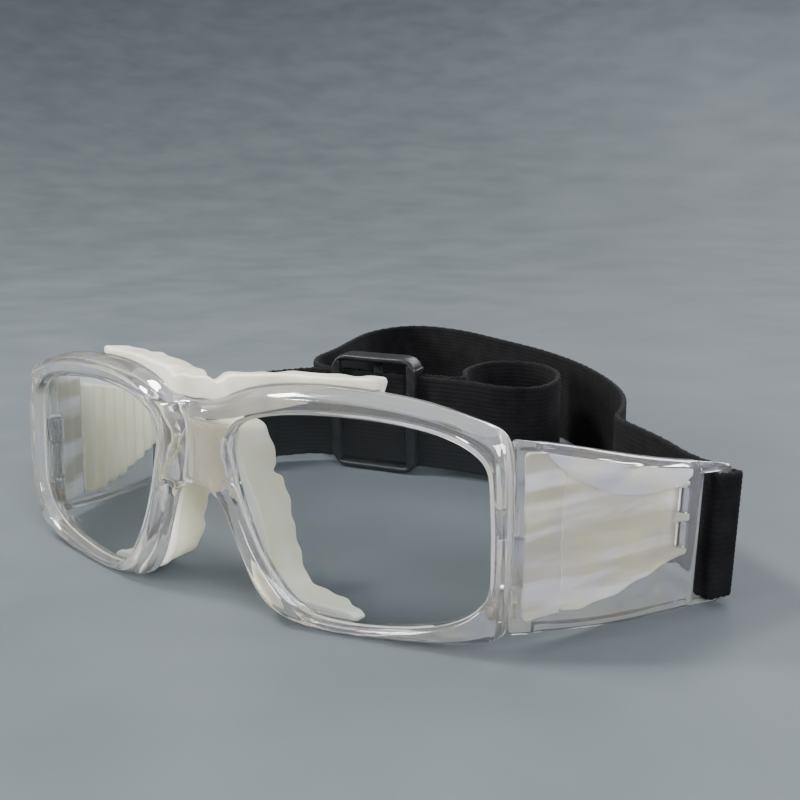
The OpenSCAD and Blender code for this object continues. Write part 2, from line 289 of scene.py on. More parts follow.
def plate(flat, faces, front, back, round_front, round_back, place):
    """A closed solid from a flat mesh: front and back are its heights, and each edge is rounded by
    (radius, share of the thickness)."""
    front, back = [np.broadcast_to(h, flat.shape[:-1]).ravel() for h in (front, back)]
    flat = flat.reshape(-1, 2)
    edges = boundary_edges(faces)
    d = distance_to(flat, edges)
    thick = back - front
    top = front + thick * round_front[1] * rounded(d, round_front[0])
    bottom = back - thick * round_back[1] * rounded(d, round_back[0])
    n = len(flat)
    points = np.concatenate([place(flat[:, 0], flat[:, 1], top), place(flat[:, 0], flat[:, 1], bottom)])
    sheets = [tuple(f) for f in faces] + [tuple(i + n for i in reversed(f)) for f in faces]
    return points, sheets + [(b, a, a + n, b + n) for a, b in edges]


# ---------------------------------------------------------------- the clear front
# Pairs of points, on the outer outline and on the lens opening, that face each other across the rim
STATIONS = [((0, 27.1), (13, 23.2)), ((16, 31), (22, 26.6)), ((40, 32.7), (40, 27)),
            ((60, 30), (57.5, 25.8)), ((71.5, 26), (66, 21.5)), ((73.2, 13), (68.5, 10)),
            ((73, -3), (69, -3)), ((71.5, -15), (66, -11)), ((60, -18.3), (57, -15)),
            ((42, -19.4), (42, -16.9)), ((26, -18.9), (29, -15.6)), ((19, -15), (22, -11)),
            ((13, -5), (17, -4)), ((9.3, 3.5), (13.6, 3)), ((6.5, 8.8), (12, 7.8)),
            ((0, 9.6), (10.7, 12)), ((0, 18), (9.9, 17))]
STATION_STEPS = 12
# The bead round the opening covers this share of the rim; beyond it the front face falls back
BEAD_SHARE, BEAD_FALL = 0.48, 2.1


def nearest(line, where):
    """Index of the point of a line that is nearest to where."""
    return int(np.argmin(((line - np.array(where)) ** 2).sum(1)))


def half_loops():
    """The opening and the outer outline of one half, point by point across the rim from each other."""
    outline = open_curve(HALF_OUTLINE, 40)
    s = lengths(outline)
    top, low = [np.interp(0, outline[part, 0], s[part]) for part in (slice(0, 40), slice(-1, -41, -1))]
    outline = at_length(outline, np.linspace(top, low, 1600))
    outline[[0, -1], 0] = 0
    middle = np.linspace(outline[-1], outline[0], 200)[1:]
    outer = np.concatenate([outline, middle])
    inner = closed_curve(OPENING, 200)
    first = nearest(inner, STATIONS[0][1])
    inner = np.concatenate([inner[first:], inner[:first + 1]])
    share = np.arange(len(STATIONS) * STATION_STEPS) / STATION_STEPS
    loops = []
    for line, marks in ((inner, [i for _, i in STATIONS]), (outer, [o for o, _ in STATIONS])):
        s = lengths(line)
        knots = [s[nearest(line[:-2], mark)] for mark in marks] + [s[-1]]
        loops.append(at_length(line, np.interp(share, np.arange(len(knots)), knots)))
    return loops


def rear_of_front(p):
    """Where the back of the front is: flat, and cut towards the open side shield at the temple."""
    alpha = OPEN_ANGLE + WRAP
    cut = SEAM_Q - (0.3 + (p - SEAM_P) * math.sin(alpha)) / math.cos(alpha)
    blend = np.clip(0.5 + (cut - RIM_BACK) / 1.2, 0, 1)
    return RIM_BACK * blend + cut * (1 - blend) - 0.6 * blend * (1 - blend)


def half_front(side):
    """One half of the front: rim, brow bead and lens groove, up to the middle of the bridge."""
    inner, outer = half_loops()
    across = np.linalg.norm(outer - inner, axis=1)
    share = graded(across, 1.9, 8) / across[:, None]
    flat = inner[:, None] * (1 - share[..., None]) + outer[:, None] * share[..., None]
    n, k = share.shape
    points = flat.reshape(-1, 2)
    seam = outer[:, 0] < NEARLY
    ring = [(i, (i + 1) % n) for i in range(n)]
    outer_edges = [(i * k + k - 1, j * k + k - 1) for i, j in ring if not (seam[i] and seam[j])]
    inner_edges = [(i * k, j * k) for i, j in ring]
    d_out = distance_to(points, outer_edges).reshape(n, k)
    d_in = distance_to(points, inner_edges).reshape(n, k)
    back = rear_of_front(flat[..., 0])
    fall = BEAD_FALL * smooth((share - BEAD_SHARE) / (1 - BEAD_SHARE))
    front = np.minimum(-RIM_FRONT + fall, back - 2.0)
    thick = back - front
    front = front + thick * 0.42 * rounded(d_out, 1.7) + 0.75 * rounded(d_in, 0.8)
    back = back - thick * 0.42 * rounded(d_out, 1.5) - 0.45 * rounded(d_in, 0.6)
    groove = inner + left_of(tangents(inner, closed=True)) * (GROOVE_D + 0.02)
    rows = [(flat[:, j], front[:, j]) for j in range(k)]
    rows += [(flat[:, j], back[:, j]) for j in range(k - 1, -1, -1)]
    rows += [(inner, LENS_T + PLAY), (groove, LENS_T + PLAY), (groove, -PLAY), (inner, -PLAY)]
    solid = np.stack([on_front(at[:, 0], at[:, 1], q, side) for at, q in rows], 1).reshape(-1, 3)
    on_seam = np.abs(solid[:, 0] / MM + ORIGIN_X) < 1e-4
    return solid, [f for f in grid_faces(n, len(rows), True, True) if not all(on_seam[i] for i in f)]


# ---------------------------------------------------------------- lenses
LENS_SAG = 1.0
LENS_RINGS = 26
LENS_MIDDLE = np.array([40.0, 5.0])


def lens(side):
    """A bulged lens that reaches into the rim's groove."""
    edge = closed_curve(OPENING, 30)
    edge = edge + left_of(tangents(edge, closed=True)) * (GROOVE_D - 0.08)
    n, sheets = len(edge), []
    reach = 1 - np.linspace(0, 1, LENS_RINGS) ** 1.5
    for back in (False, True):
        rings = []
        for r in reach[:-1]:
            flat = LENS_MIDDLE + (edge - LENS_MIDDLE) * r
            bulge = LENS_SAG * (1 - r * r)
            bevel = 0.12 if r == 1 else 0
            q = (LENS_T - bevel if back else bevel) - bulge
            rings.append(on_front(flat[:, 0], flat[:, 1], q, side))
        middle = on_front(LENS_MIDDLE[:1], LENS_MIDDLE[1:], (LENS_T if back else 0) - LENS_SAG, side)
        faces = grid_faces(len(rings), n, False, True)
        last = (len(rings) - 1) * n
        faces += [(last + i, last + (i + 1) % n, len(rings) * n) for i in range(n)]
        sheets.append((np.concatenate([*rings, middle]), faces))
    points, faces = joined(*sheets)
    back = len(sheets[0][0])
    faces += [(i, (i + 1) % n, back + (i + 1) % n, back + i) for i in range(n)]
    return points, faces


def in_groove(side):
    """A test for the ground rim of a lens, which sits in the frame's groove."""
    opening = closed_curve(OPENING, 30)
    middle = on_front(*LENS_MIDDLE, 0, side)
    rim = on_front(opening[:, 0], opening[:, 1], LENS_T / 2, side) - middle
    reach, angle = np.hypot(rim[:, 0], rim[:, 2]), np.arctan2(rim[:, 2], rim[:, 0])
    order = np.argsort(angle)

    def wanted(centre, _normal):
        x, _, z = np.array(centre) - middle
        edge = np.interp(math.atan2(z, x), angle[order], reach[order], period=2 * math.pi)
        return math.hypot(x, z) > edge + 0.15 * MM

    return wanted


# ---------------------------------------------------------------- hinges
def prism(outline, low, high, bevel, place):
    """A closed outline drawn up from low to high, with rounded ends."""
    outline = np.array(outline, float)
    into = left_of(tangents(outline, closed=True)) * bevel
    turns = np.linspace(0, math.pi / 2, 4)
    rows = [(outline + into * (1 - math.sin(a)), low + bevel * (1 - math.cos(a))) for a in turns]
    rows += [(outline + into * (1 - math.sin(a)), high - bevel * (1 - math.cos(a))) for a in turns[::-1]]
    return swept([place(r[:, 0], r[:, 1], z) for r, z in rows])


KNUCKLE_H, KNUCKLE_PLAY, HINGE_BEVEL = 10, 0.12, 0.35
EAR_H, EAR_GAP, EAR_ROOT = 6.3, 0.2, 2.45
EAR_TOP = KNUCKLE_H / 2 + EAR_GAP + EAR_H


def ears(side):
    """The front's two hinge ears: half circles round the pin, closed by a straight root."""
    a = np.linspace(0, math.pi, 20)
    down = np.linspace(0, -EAR_ROOT, 6)[1:]
    roots = [np.stack([np.full(5, x), y], 1) for x, y in ((-BARREL_R, down), (BARREL_R, down[::-1]))]
    outline = np.concatenate([np.stack([BARREL_R * np.cos(a), BARREL_R * np.sin(a)], 1), *roots])
    place = lambda x, y, z: at_hinge(x, y, z, side)
    lows = (KNUCKLE_H / 2 + EAR_GAP, -EAR_TOP)
    return [prism(outline, low, low + EAR_H, HINGE_BEVEL, place) for low in lows]


def turned(profile, side, steps):
    """Rings about the hinge's axis from their radii and heights."""
    a = full_turn(steps)
    return [at_hinge(r * np.cos(a), r * np.sin(a), z, side) for r, z in profile]


SCREW_R, THREAD_PITCH, THREAD_D = 0.6, 0.3, 0.12
SCREW_TIP_R, SCREW_TIP_UP = 0.35, 0.6
HEAD = [(1.4, 0), (1.5, 0.1), (1.5, 0.45), (1.35, 0.68), (1.0, 0.84), (0.6, 0.9), (0.1, 0.9)]
SLOT_HALF_W, SLOT_HALF_L, SLOT_FLOOR = 0.17, 0.85, 0.35
INSERT_R, INSERT_H, KNURLS = 1.2, 3.0, 36


def screw(side):
    """A pan head, a plain shank, and a threaded end inside the insert."""
    low = -EAR_TOP + SCREW_TIP_UP
    profile = [(SCREW_TIP_R, low)]
    for z in low + 0.15 + np.arange(int((INSERT_H - 0.8) / THREAD_PITCH)) * THREAD_PITCH:
        profile += [(SCREW_R - THREAD_D, z), (SCREW_R, z + THREAD_PITCH / 2)]
    profile += [(SCREW_R, low + INSERT_H), (SCREW_R, EAR_TOP), *((r, EAR_TOP + h) for r, h in HEAD)]
    return swept(turned(profile, side, 40))


def cut_cross(piece, side):
    """Cuts a cross recess in a screw's head, one slot at a time."""
    place = lambda x, y, z: at_hinge(x, y, z, side)
    for x, y in ((SLOT_HALF_W, SLOT_HALF_L), (SLOT_HALF_L, SLOT_HALF_W)):
        bar = prism([(-x, -y), (x, -y), (x, y), (-x, y)], EAR_TOP + SLOT_FLOOR, EAR_TOP + 2, 0.01, place)
        cutter = new_piece("cutter", *bar, piece.data.materials[0])
        cut = piece.modifiers.new("recess", "BOOLEAN")
        cut.operation, cut.object, cut.solver = "DIFFERENCE", cutter, "EXACT"
        graph = bpy.context.evaluated_depsgraph_get()
        mesh = bpy.data.meshes.new_from_object(piece.evaluated_get(graph))
        piece.modifiers.clear()
        piece.data = mesh
        bpy.data.objects.remove(cutter)


def insert(side):
    """A knurled ring with a plain bore."""
    steps = 2 * KNURLS
    knurl = INSERT_R - 0.02 - 0.07 * (np.arange(steps) % 2)
    bore, waist = SCREW_R + PLAY, INSERT_R - 0.2
    low, high = -EAR_TOP, -EAR_TOP + INSERT_H
    rows = [(bore, low), (knurl - 0.1, low), (knurl, low + 0.12), (knurl, low + 1.2), (waist, low + 1.3),
            (waist, low + 1.7), (knurl, low + 1.8), (knurl, high - 0.12), (knurl - 0.1, high), (bore, high)]
    return np.concatenate(turned(rows, side, steps)), grid_faces(len(rows), steps, True, True)


# ---------------------------------------------------------------- side shields
SHIELD_TOP = [(0, 25.4), (14, 22.8), (30, 19), (44, 16.2), (58, 14.4)]
SHIELD_LOW = [(0, -14.2), (14, -16.1), (28, -17), (44, -17), (58, -16.8)]
SLOT_FROM, SLOT_TO = SLOT_S, SLOT_S + SLOT_W
# The shield's two tab slots, and the narrower slits of its pad
TAB_FROM, TAB_TO = 43.1, 44.9
TABS = [(-2.1, 2.9), (5.4, 10.4)]
SLIT_FROM, SLIT_TO = 43.95, 44.75
SLOT_LOW, SLOT_HIGH = -15.5, 13.7
LIP_H, LIP_T = 1.8, 1.8
SHIELD_CORNER = 1.6


def height_at(points, s):
    """Height of an edge, given by a few points, at each place s."""
    line = open_curve(points, 12)
    return np.interp(s, line[:, 0], line[:, 1])


def corner(s, start, end, radius):
    """How far a rounded corner takes an edge in, near the two ends of a stretch."""
    return radius * (rounded(s - start, radius) + rounded(end - s, radius))


def band_lines(low, high, fine, count):
    """Lines between two heights, close together near both."""
    return graded(high - low, fine, count) + low[:, None]


def grid_points(s, z):
    """The crossings of lines at s with, on each of them, the heights z."""
    return np.stack([np.repeat(s[:, None], z.shape[1], 1), z], 2)


def within(value, low, high):
    """Whether a grid line lies from low up to, but not at, high."""
    return low - NEARLY <= value < high - NEARLY


def cells(rows, columns, skip):
    """The faces of a grid, less those to skip."""
    return [f for f in grid_faces(rows, columns) if not skip(f)]


def shield_grid():
    """The shield's outline as a grid with its strap slot and tab slots, and its two edges."""
    near = np.array([0, 0.03, 0.1, 0.25, 0.5, 0.8, 1.2])
    s = np.concatenate([near, np.linspace(2, TAB_FROM - 0.9, 30), TAB_FROM - near[3::-1], TAB_TO + near[:4],
                        np.linspace(TAB_TO + 1.2, SLOT_FROM - 1.2, 3), SLOT_FROM - near[5::-1],
                        np.linspace(SLOT_FROM + 0.8, SLOT_TO - 0.8, 4), SLOT_TO + near[:6],
                        SHIELD_LEN - near[::-1]])
    top = height_at(SHIELD_TOP, s) - corner(s, 0, SHIELD_LEN, SHIELD_CORNER)
    low = height_at(SHIELD_LOW, s) + corner(s, 0, SHIELD_LEN, SHIELD_CORNER)
    upper = top - np.interp(s, [0, SLOT_FROM, SLOT_TO, SHIELD_LEN], [2.6, 2.5, 1.9, 0.9])
    lower = low + np.interp(s, [0, SLOT_TO, SHIELD_LEN], [1.5, 1.5, 0.9])
    share = (np.array(TABS).ravel() - SLOT_LOW) / (SLOT_HIGH - SLOT_LOW)
    steps = [0, 0.01, 0.03, *np.linspace(0.07, share[0] - 0.02, 12), share[0] - 0.008,
             *np.linspace(share[0], share[1], 5), share[1] + 0.008,
             *np.linspace(share[1] + 0.02, share[2] - 0.02, 3), share[2] - 0.008,
             *np.linspace(share[2], share[3], 5), share[3] + 0.008, share[3] + 0.03, 0.97, 0.99, 1]
    middle = lower[:, None] + (upper - lower)[:, None] * np.array(steps)
    bottom = band_lines(low, lower, 0.7, 1)[:, :-1]
    crown = band_lines(upper, top, 0.9, 1)[:, 1:]
    z = np.concatenate([bottom, middle, crown], 1)
    first, last = bottom.shape[1], bottom.shape[1] + middle.shape[1] - 1
    marks = first + np.array([steps.index(v) for v in share])

    def skipped(face):
        i, j = divmod(face[0], z.shape[1])
        if within(s[i], SLOT_FROM, SLOT_TO):
            return first <= j < last
        return within(s[i], TAB_FROM, TAB_TO) and (marks[0] <= j < marks[1] or marks[2] <= j < marks[3])

    return grid_points(s, z), cells(*z.shape, skipped), top, low


def side_shield(name):
    """A shield: a waved wall with a lip inside its upper and lower edges, and the hinge knuckle."""
    flat, faces, top, low = shield_grid()
    s, z = flat[..., 0], flat[..., 1]
    edge = np.minimum(top[:, None] - z, z - low[:, None])
    along = between(s, 6, SLOT_FROM - 0.5, 2, 2)
    lip = LIP_H * along * smooth((LIP_T + 0.35 - edge) / 0.5)
    ripple = 0.3 * np.sin(z * 0.62 + 1.3 * np.sin(s * 0.12) + 0.5 * np.sin(s * 0.31 + 1))
    ripple = ripple + 0.12 * np.sin(z * 1.55 + s * 0.1 + 0.7 * np.sin(s * 0.27)) - 0.2
    ripple = ripple * between(s, 4, 42, 6, 6)
    shoulder = np.interp(s, [0, 20, 40, SHIELD_LEN], [8.5, 5, 2.4, 1.2])
    foot = np.interp(s, [0, 20, 40, SHIELD_LEN], [3.4, 3.6, 2.6, 1.2])
    crown = 0.95 * smooth((shoulder - (top[:, None] - z)) / shoulder)
    crown = crown + 0.6 * smooth((foot - (z - low[:, None])) / foot)
    facet = np.sin(z * 0.55 + 1.1 * np.sin(s * 0.11 + 2) + 0.4)
    facet = facet + 0.35 * np.sin(z * 1.4 - s * 0.07 + 0.6 * np.sin(s * 0.3))
    facet = 0.14 * (facet + 1.35) * between(s, 3, 44, 5, 6) * smooth(edge / 3)
    crown = crown * between(s, 0, SHIELD_LEN, 1.5, 6) + facet
    inside = SHIELD_T + lip - 0.05 + ripple * (lip < 0.05)
    wall = plate(flat, faces, crown, inside, (1.3, 0.45), (0.7, 0.3),
                 lambda u, v, w: on_shield(w, u, v, name))
    steps = np.linspace(0, math.pi, 20)
    barrel_r = BARREL_R - KNUCKLE_PLAY
    barrel = [(HINGE_N + barrel_r * math.sin(a), BARREL_R - barrel_r * math.cos(a)) for a in steps]
    root = [(x, 2 * BARREL_R) for x in (3.6, 3.0, SHIELD_T + 0.02)]
    foot = [(x, KNUCKLE_PLAY) for x in (SHIELD_T + 0.02, 3.0, 3.6)]
    outline = [*barrel, *root, *foot][::-1]
    knuckle = prism(outline, -KNUCKLE_H / 2, KNUCKLE_H / 2, HINGE_BEVEL,
                    lambda u, v, w: on_shield(u, v, w, name))
    return joined(wall, knuckle)


# ---------------------------------------------------------------- side pads
PAD_TOP = [(14, 18.8), (22, 17), (34, 14.2), (47, 11.6)]
PAD_LOW = [(14, -12), (19, -12.8), (22, -11.6), (29, -11), (33, -8.9), (38, -8.3), (42, -5.8), (47, -5)]
PAD_T, RIB_H, RIB_PITCH, RIB_FIRST = 2.0, 1.25, 4.6, 16.0
PAD_FROM, PAD_TO, PAD_MIDDLE = 14, 48.3, -3.6
FLANGE_FROM = 4.4
PAD_EDGE = np.array([0, 0.03, 0.12, 0.3, 0.6, 1.0])
SLIT_LINE = 0.12


def waves_on_pad(s, z):
    """Slow waves along a pad, from 0 to about 1."""
    broad = np.sin(z * 0.66 + 1.2 * np.sin(s * 0.13 + 0.5) + 0.6)
    return 0.5 + 0.3 * broad + 0.2 * np.sin(z * 1.35 - s * 0.11 + 0.8 * np.sin(s * 0.24))


def pad_front(s, z):
    """The pad's waved face, as a distance inward from the shield's outer face."""
    return SHIELD_T + 0.25 + 0.7 * waves_on_pad(s[:, None], z)


def pad_back(s):
    """The pad's ribbed face."""
    ribs = (0.5 + 0.5 * np.cos((s - RIB_FIRST) / RIB_PITCH * 2 * math.pi)) ** 0.8 * smooth((46 - s) / 3)
    return (SHIELD_T + 0.1 + PAD_T + RIB_H * ribs)[:, None]


def pad_sheet(name, s, z, front, back, slits=False):
    """A moulded sheet that lies along a shield: front and back are its distances inward."""

    def in_slit(face):
        i, j = divmod(face[0], z.shape[1])
        here = slits and within(s[i], SLIT_FROM, SLIT_TO)
        return here and any(lo - NEARLY <= z[i, j] and z[i, j + 1] <= hi + NEARLY for lo, hi in TABS)

    return plate(grid_points(s, z), cells(*z.shape, in_slit), front, back, (0.5, 0.3), (0.9, 0.5),
                 lambda u, v, w: on_shield(w, u, v, name))


def pad_lines(s, top, low):
    """Heights of a temple pad's grid lines, which run along the slits' ends."""
    marks = np.array([v for lo, hi in TABS for v in (lo - SLIT_LINE, lo, hi, hi + SLIT_LINE)])
    inner = np.concatenate([np.linspace(PAD_MIDDLE, marks[0] - 0.5, 3), marks[:2],
                            np.linspace(marks[1], marks[2], 6)[1:-1], marks[2:6],
                            np.linspace(marks[5], marks[6], 6)[1:-1], marks[6:]])
    inner = np.repeat(inner[None], len(s), 0)
    rise = np.clip((PAD_MIDDLE - low) / 5.4, 0.05, 1)
    below = low[:, None] + np.concatenate([PAD_EDGE, [2, 3.2, 4.4]]) * rise[:, None]
    above = (top - 1.0)[:, None] + np.array([-0.6, 0, 0.4, 0.7, 0.88, 0.97, 1.0])
    squeeze = np.clip((above[:, :1] - 0.2) / inner[:, -1:], 0, 1)
    inner = np.where(inner > 0, inner * squeeze, inner)
    return np.sort(np.concatenate([below, inner, above], 1), axis=1)


def side_pad(name):
    """The ribbed pad, with the two tabs that hold it in the shield."""
    s = np.concatenate([PAD_FROM + PAD_EDGE, np.linspace(15.4, TAB_FROM - 0.2, 86),
                        SLIT_FROM - PAD_EDGE[2::-1], SLIT_TO + PAD_EDGE[:4],
                        np.linspace(TAB_TO + 0.8, 46.6, 4), PAD_TO - PAD_EDGE[::-1]])
    top = height_at(PAD_TOP, s) - corner(s, PAD_FROM, PAD_TO, 1.2)
    low = height_at(PAD_LOW, s) + corner(s, PAD_FROM, PAD_TO, 1.2)
    z = pad_lines(s, top, low)
    sheet = pad_sheet(name, s, z, pad_front(s, z), pad_back(s), slits=True)
    near, far, first, last = 0.9, SHIELD_T + 0.5, TAB_FROM + 0.1, TAB_FROM + 0.6
    outline = np.array([(near, first), (far, first), (far, last), (near, last), (near, first)])
    outline = at_length(outline, np.linspace(0, 4.99, 29)[:-1])[::-1]
    place = lambda u, v, w: on_shield(u, v, w, name)
    return joined(sheet, *(prism(outline, lo + 0.15, hi - 0.15, 0.1, place) for lo, hi in TABS))


def pad_flange(name):
    """The thin clear edge of the pad, from near the hinge to its first rib."""
    s = np.concatenate([FLANGE_FROM + PAD_EDGE, np.linspace(5.8, 13.8, 26)])
    turn_in = 1.4 * rounded(s - FLANGE_FROM, 1.4)
    top = np.interp(s, [FLANGE_FROM, PAD_FROM], [22.0, 20.2]) - turn_in
    low = np.interp(s, [FLANGE_FROM, PAD_FROM], [-12.6, -12.2]) + turn_in
    z = band_lines(low, top, 1.0, 24)
    back = SHIELD_T + 1.45 + 0.15 * np.sin(s[:, None] * 1.7 + 0.4 * np.sin(z * 0.3))
    return pad_sheet(name, s, z, pad_front(s, z), back)


def pad_crest(name):
    """The smooth swelling along the pad's top, pressed against the shield."""
    s = np.linspace(9.5, 47.2, 60)
    top = height_at(SHIELD_TOP, s) - 2.3
    low = top - 0.15 - 6.3 * np.clip(1 - ((s - 28.5) / 19.2) ** 2, 0, 1) ** 0.75
    return pad_sheet(name, s, band_lines(low, top, 1.0, 24), SHIELD_T + 0.01, SHIELD_T + 0.23)


# ---------------------------------------------------------------- brow and nose pads
BROW_ENDS = (-37.8, 43.4)
BROW_TOP = [(0, 33.2), (12, 33.4), (22, 34.6), (34, 34.4), (42.8, 35)]
BROW_LOW = [(0, 22.7), (8, 23.2), (14, 25), (28, 28.6), (39, 30.6), (42.8, 31.1)]
BROW_DEPTH = 8.5
CORNER_STEPS = 5


def soft_polygon(corners, radii):
    """A closed polygon with its corners rounded, with the same number of points whatever its shape."""
    out = []
    count = len(corners)
    for i, r in enumerate(radii):
        here = np.array(corners[i], float)
        before, after = np.array(corners[i - 1], float), np.array(corners[(i + 1) % count], float)
        a, b = before - here, after - here
        la, lb = np.linalg.norm(a), np.linalg.norm(b)
        start = here + a / la * min(r, la * 0.45)
        end = here + b / lb * min(r, lb * 0.45)
        out.append(arc(start, here, end, np.linspace(0, 1, CORNER_STEPS)))
    return np.concatenate(out)


def brow_pad():
    """The soft strip along the front's upper edge, with its waved rear."""
    rim = open_curve(HALF_OUTLINE, 12)[:60]
    near = np.array([0, 0.06, 0.25, 0.6, 1.1])
    across = np.concatenate([BROW_ENDS[0] + near, np.linspace(BROW_ENDS[0] + 1.8, BROW_ENDS[1] - 1.8, 130),
                             BROW_ENDS[1] - near[::-1]])
    rows = []
    for p in across:
        a = abs(p)
        rim_top = np.interp(a, rim[:, 0], rim[:, 1]) + 0.12
        top = height_at(BROW_TOP, a) - 0.9 * math.exp(-(a / 5) ** 2)
        low = min(height_at(BROW_LOW, a), rim_top - 0.6)
        wave = 0.5 + 0.3 * math.cos(p * 0.7 + 0.9 * math.sin(p * 0.31 + 1)) + 0.2 * math.cos(p * 0.27 + 2)
        depth = BROW_DEPTH - 0.2 - 0.7 * wave - 0.8 * math.exp(-(a / 6) ** 2)
        rear_top = top - 0.35 - 0.45 * wave
        end = 1.1 * rounded(np.array(min(p - BROW_ENDS[0], BROW_ENDS[1] - p)), 1.1)
        corners = [(0.75 + end, rim_top + end * 0.3), (0.75 + end, top - end), (3.6, top - 0.25 - end),
                   (depth - end, rear_top - end), (depth - 0.6 - end, (rear_top + low) / 2),
                   (depth * 0.8 - end, low + end * 0.4), (RIM_BACK + 0.22, low + end * 0.4),
                   (RIM_BACK + 0.22, rim_top - 0.2)]
        section = soft_polygon(corners, [0.5, 0.8, 1.5, 0.9, 1.5, 0.9, 0.5, 0.3])
        fold = np.exp(-((a - 7.5 + 0.9 * section[:, 0]) / 2.1) ** 2) * smooth((section[:, 1] - low) / 3)
        rows.append(on_front(p, section[:, 1] - 1.5 * fold, section[:, 0]))
    return swept(rows)


NOSE_LINE = [(-3, 20.8), (3, 20.8), (7, 15.6), (10, 8), (14, -2), (15.6, -11), (20, -16.2), (37, -17.4)]
NOSE_WALL, NOSE_DEPTH, NOSE_FLARE = 2.6, 17.0, math.radians(3)
TAIL_SLOPE, RIDGE_D = math.radians(32), 2.7


def nose_wall():
    """The saddle wall, from one tail over the bridge to the other."""
    line = open_curve(NOSE_LINE, 40)
    s = lengths(line)
    start = np.interp(0, line[:40, 0], s[:40])
    half = at_length(line, np.linspace(start, s[-1], 110))
    half[0, 0] = 0
    path = np.concatenate([half[:0:-1] * (-1, 1), half])
    normal = left_of(tangents(path))
    distance = lengths(path)
    distance = np.abs(distance - distance[-1] / 2)
    tail = distance.max()
    steps = np.concatenate([np.linspace(0, 0.3, 12), np.linspace(0.36, 1, 8)])
    profile = lambda f: (1 - 0.38 * f) * (0.86 + 0.3 * between(f, 0, 0.24, 0.04, 0.07))
    outline = [(profile(f), f * 0.93) for f in steps]
    for angle in np.linspace(0, math.pi, 8)[1:-1]:
        outline.append((profile(1) * math.cos(angle), 0.93 + 0.07 * math.sin(angle)))
    outline = np.array(outline + [(-profile(f), f * 0.93) for f in steps[::-1]])
    rows = []
    for (p, z), n, d in zip(path, normal, distance):
        a, sign = abs(p), (1 if p >= 0 else -1)
        first = behind_front(a, RIM_BACK + 0.18)
        last = RIM_BACK * math.cos(WRAP) + NOSE_DEPTH - a * math.sin(NOSE_FLARE)
        tail_depth = RIM_BACK + NOSE_DEPTH + 1 - max(a - 16, 0) * math.tan(TAIL_SLOPE)
        cut = a * math.sin(WRAP) + tail_depth * math.cos(WRAP)
        wave = 0.5 + 0.25 * math.sin(d * 1.05) + 0.25 * math.sin(d * 0.43 + 2)
        last = min(last, cut) - 1.2 * wave - 2.2 * math.exp(-((d - 15.5) / 1.1) ** 2)
        last = max(last, first + 1.6)
        half_wall = NOSE_WALL / 2 * min(1, 0.35 + (tail - d) / 3)
        section = outline * (half_wall, 1)
        y = first + section[:, 1] * (last - first)
        lean_out = (y - first) * math.tan(NOSE_FLARE) * smooth(a / 8) * sign
        x = p + n[0] * section[:, 0] - 0.73 * smooth(a / 8) * sign + lean_out
        rows.append(to_row(x, y, z + n[1] * section[:, 0]))
    return swept(rows)


def second_finish(piece, material, wanted):
    """Gives the faces that pass a test of their centre and normal their own finish."""
    piece.data.materials.append(material)
    for face in piece.data.polygons:
        if wanted(face.center, face.normal):
            face.material_index = len(piece.data.materials) - 1


def in_web_shade(centre, normal):
    """The front faces of the web behind the bridge, where a darker copy of the silicone is painted shade for
    a panel that faces away from the light.
    """
    return abs(centre.x + ORIGIN_X * MM) < 10.5 * MM and normal.y < -0.5


def on_highlit_ridge(centre, _normal):
    """The ridge of the nose pad that lies against the rims, where a whiter copy of the silicone is a painted
    highlight.
    """
    a, up = abs(centre.x / MM + ORIGIN_X), centre.z / MM - LIFT
    y = (centre.y / MM + ORIGIN_Y) * math.cos(LEAN) - up * math.sin(LEAN)
    return y - behind_front(a, RIM_BACK) < RIDGE_D


def nose_web():
    """The thin web behind the bridge that joins the two sides of the nose pad."""
    width = [(7.4, 7.0), (10.2, 7.6), (12, 8.5), (15, 9), (18, 9.4), (22.4, 10)]
    z = np.concatenate([[7.4, 7.43, 7.55, 7.8], np.linspace(8.2, 21.6, 30), [22, 22.25, 22.37, 22.4]])
    reach = height_at(width, z)
    x = np.concatenate([graded(2 * r, 0.7, 12) - r for r in reach[:, None]])
    flat = grid_points(z, x)[..., ::-1]
    faces = [f[::-1] for f in grid_faces(*x.shape)]
    return plate(flat, faces, RIM_BACK + 0.2, RIM_BACK + 2.3, (0.4, 0.2), (0.9, 0.5), on_front)


# ---------------------------------------------------------------- strap
SLIDER_AT = np.array([-29.6, 110.8])
SLIDER_ANGLE = math.radians(8)
SLIDER_FOOT = 2.4


def at_slider(layer, *places):
    """Points of one of the two layers inside the slider, at places along it."""
    steps = [turn(x, layer * (STRAP_T / 2 + 0.7), SLIDER_ANGLE) for x in places]
    return [(SLIDER_AT[0] + x, SLIDER_AT[1] + y, SLIDER_FOOT) for x, y in steps]


# Middle line of the webbing, from the left shield to the right one: x, y and height of its lower edge
STRAP_ROUTE = [(89, 72.7, 1.3), (83.4, 75.4, 1.3), (73, 86.5, 1), (60, 97, 0.7), (51.5, 105, 0.05),
               (49.5, 115, 0.05), (41, 135, 0.05), (18, 161, 0.05), (-8, 180, 0.05), (-32, 191, 0.05),
               (-58, 203, 0.05), (-80, 203, 0.05), (-85.5, 183, 0.05), (-77.5, 160, 0.6), (-69, 140, 1.2),
               (-64, 122, 1.8), *at_slider(1, -23, -9, 4, 18, 26), (-4.5, 121, 2), (-13, 134, 1.2),
               (-14, 152, 0.6), (-2, 160, 0.05), (11, 152, 0.05), (18.5, 137, 0.2), (20, 121, 1),
               (11, 114.5, 1.6), (4, 114, 2.2), *at_slider(-1, 26, 18, 4, -9, -22), (-57, 101, 2),
               (-64, 93.5, 1.6), (-66, 86, 1.3), (-69.5, 77.7, 1.3), (-76.5, 76.1, 1.3)]
RUN_LEFT_END, RUN_RIGHT_START = 3, 34
STRAP_STEPS = 28
RIBS = 21
RIB_D, SELVEDGE, WEAVE_PICK = 0.11, 0.7, 0.95
STRAP_LINE = open_curve(STRAP_ROUTE, STRAP_STEPS)


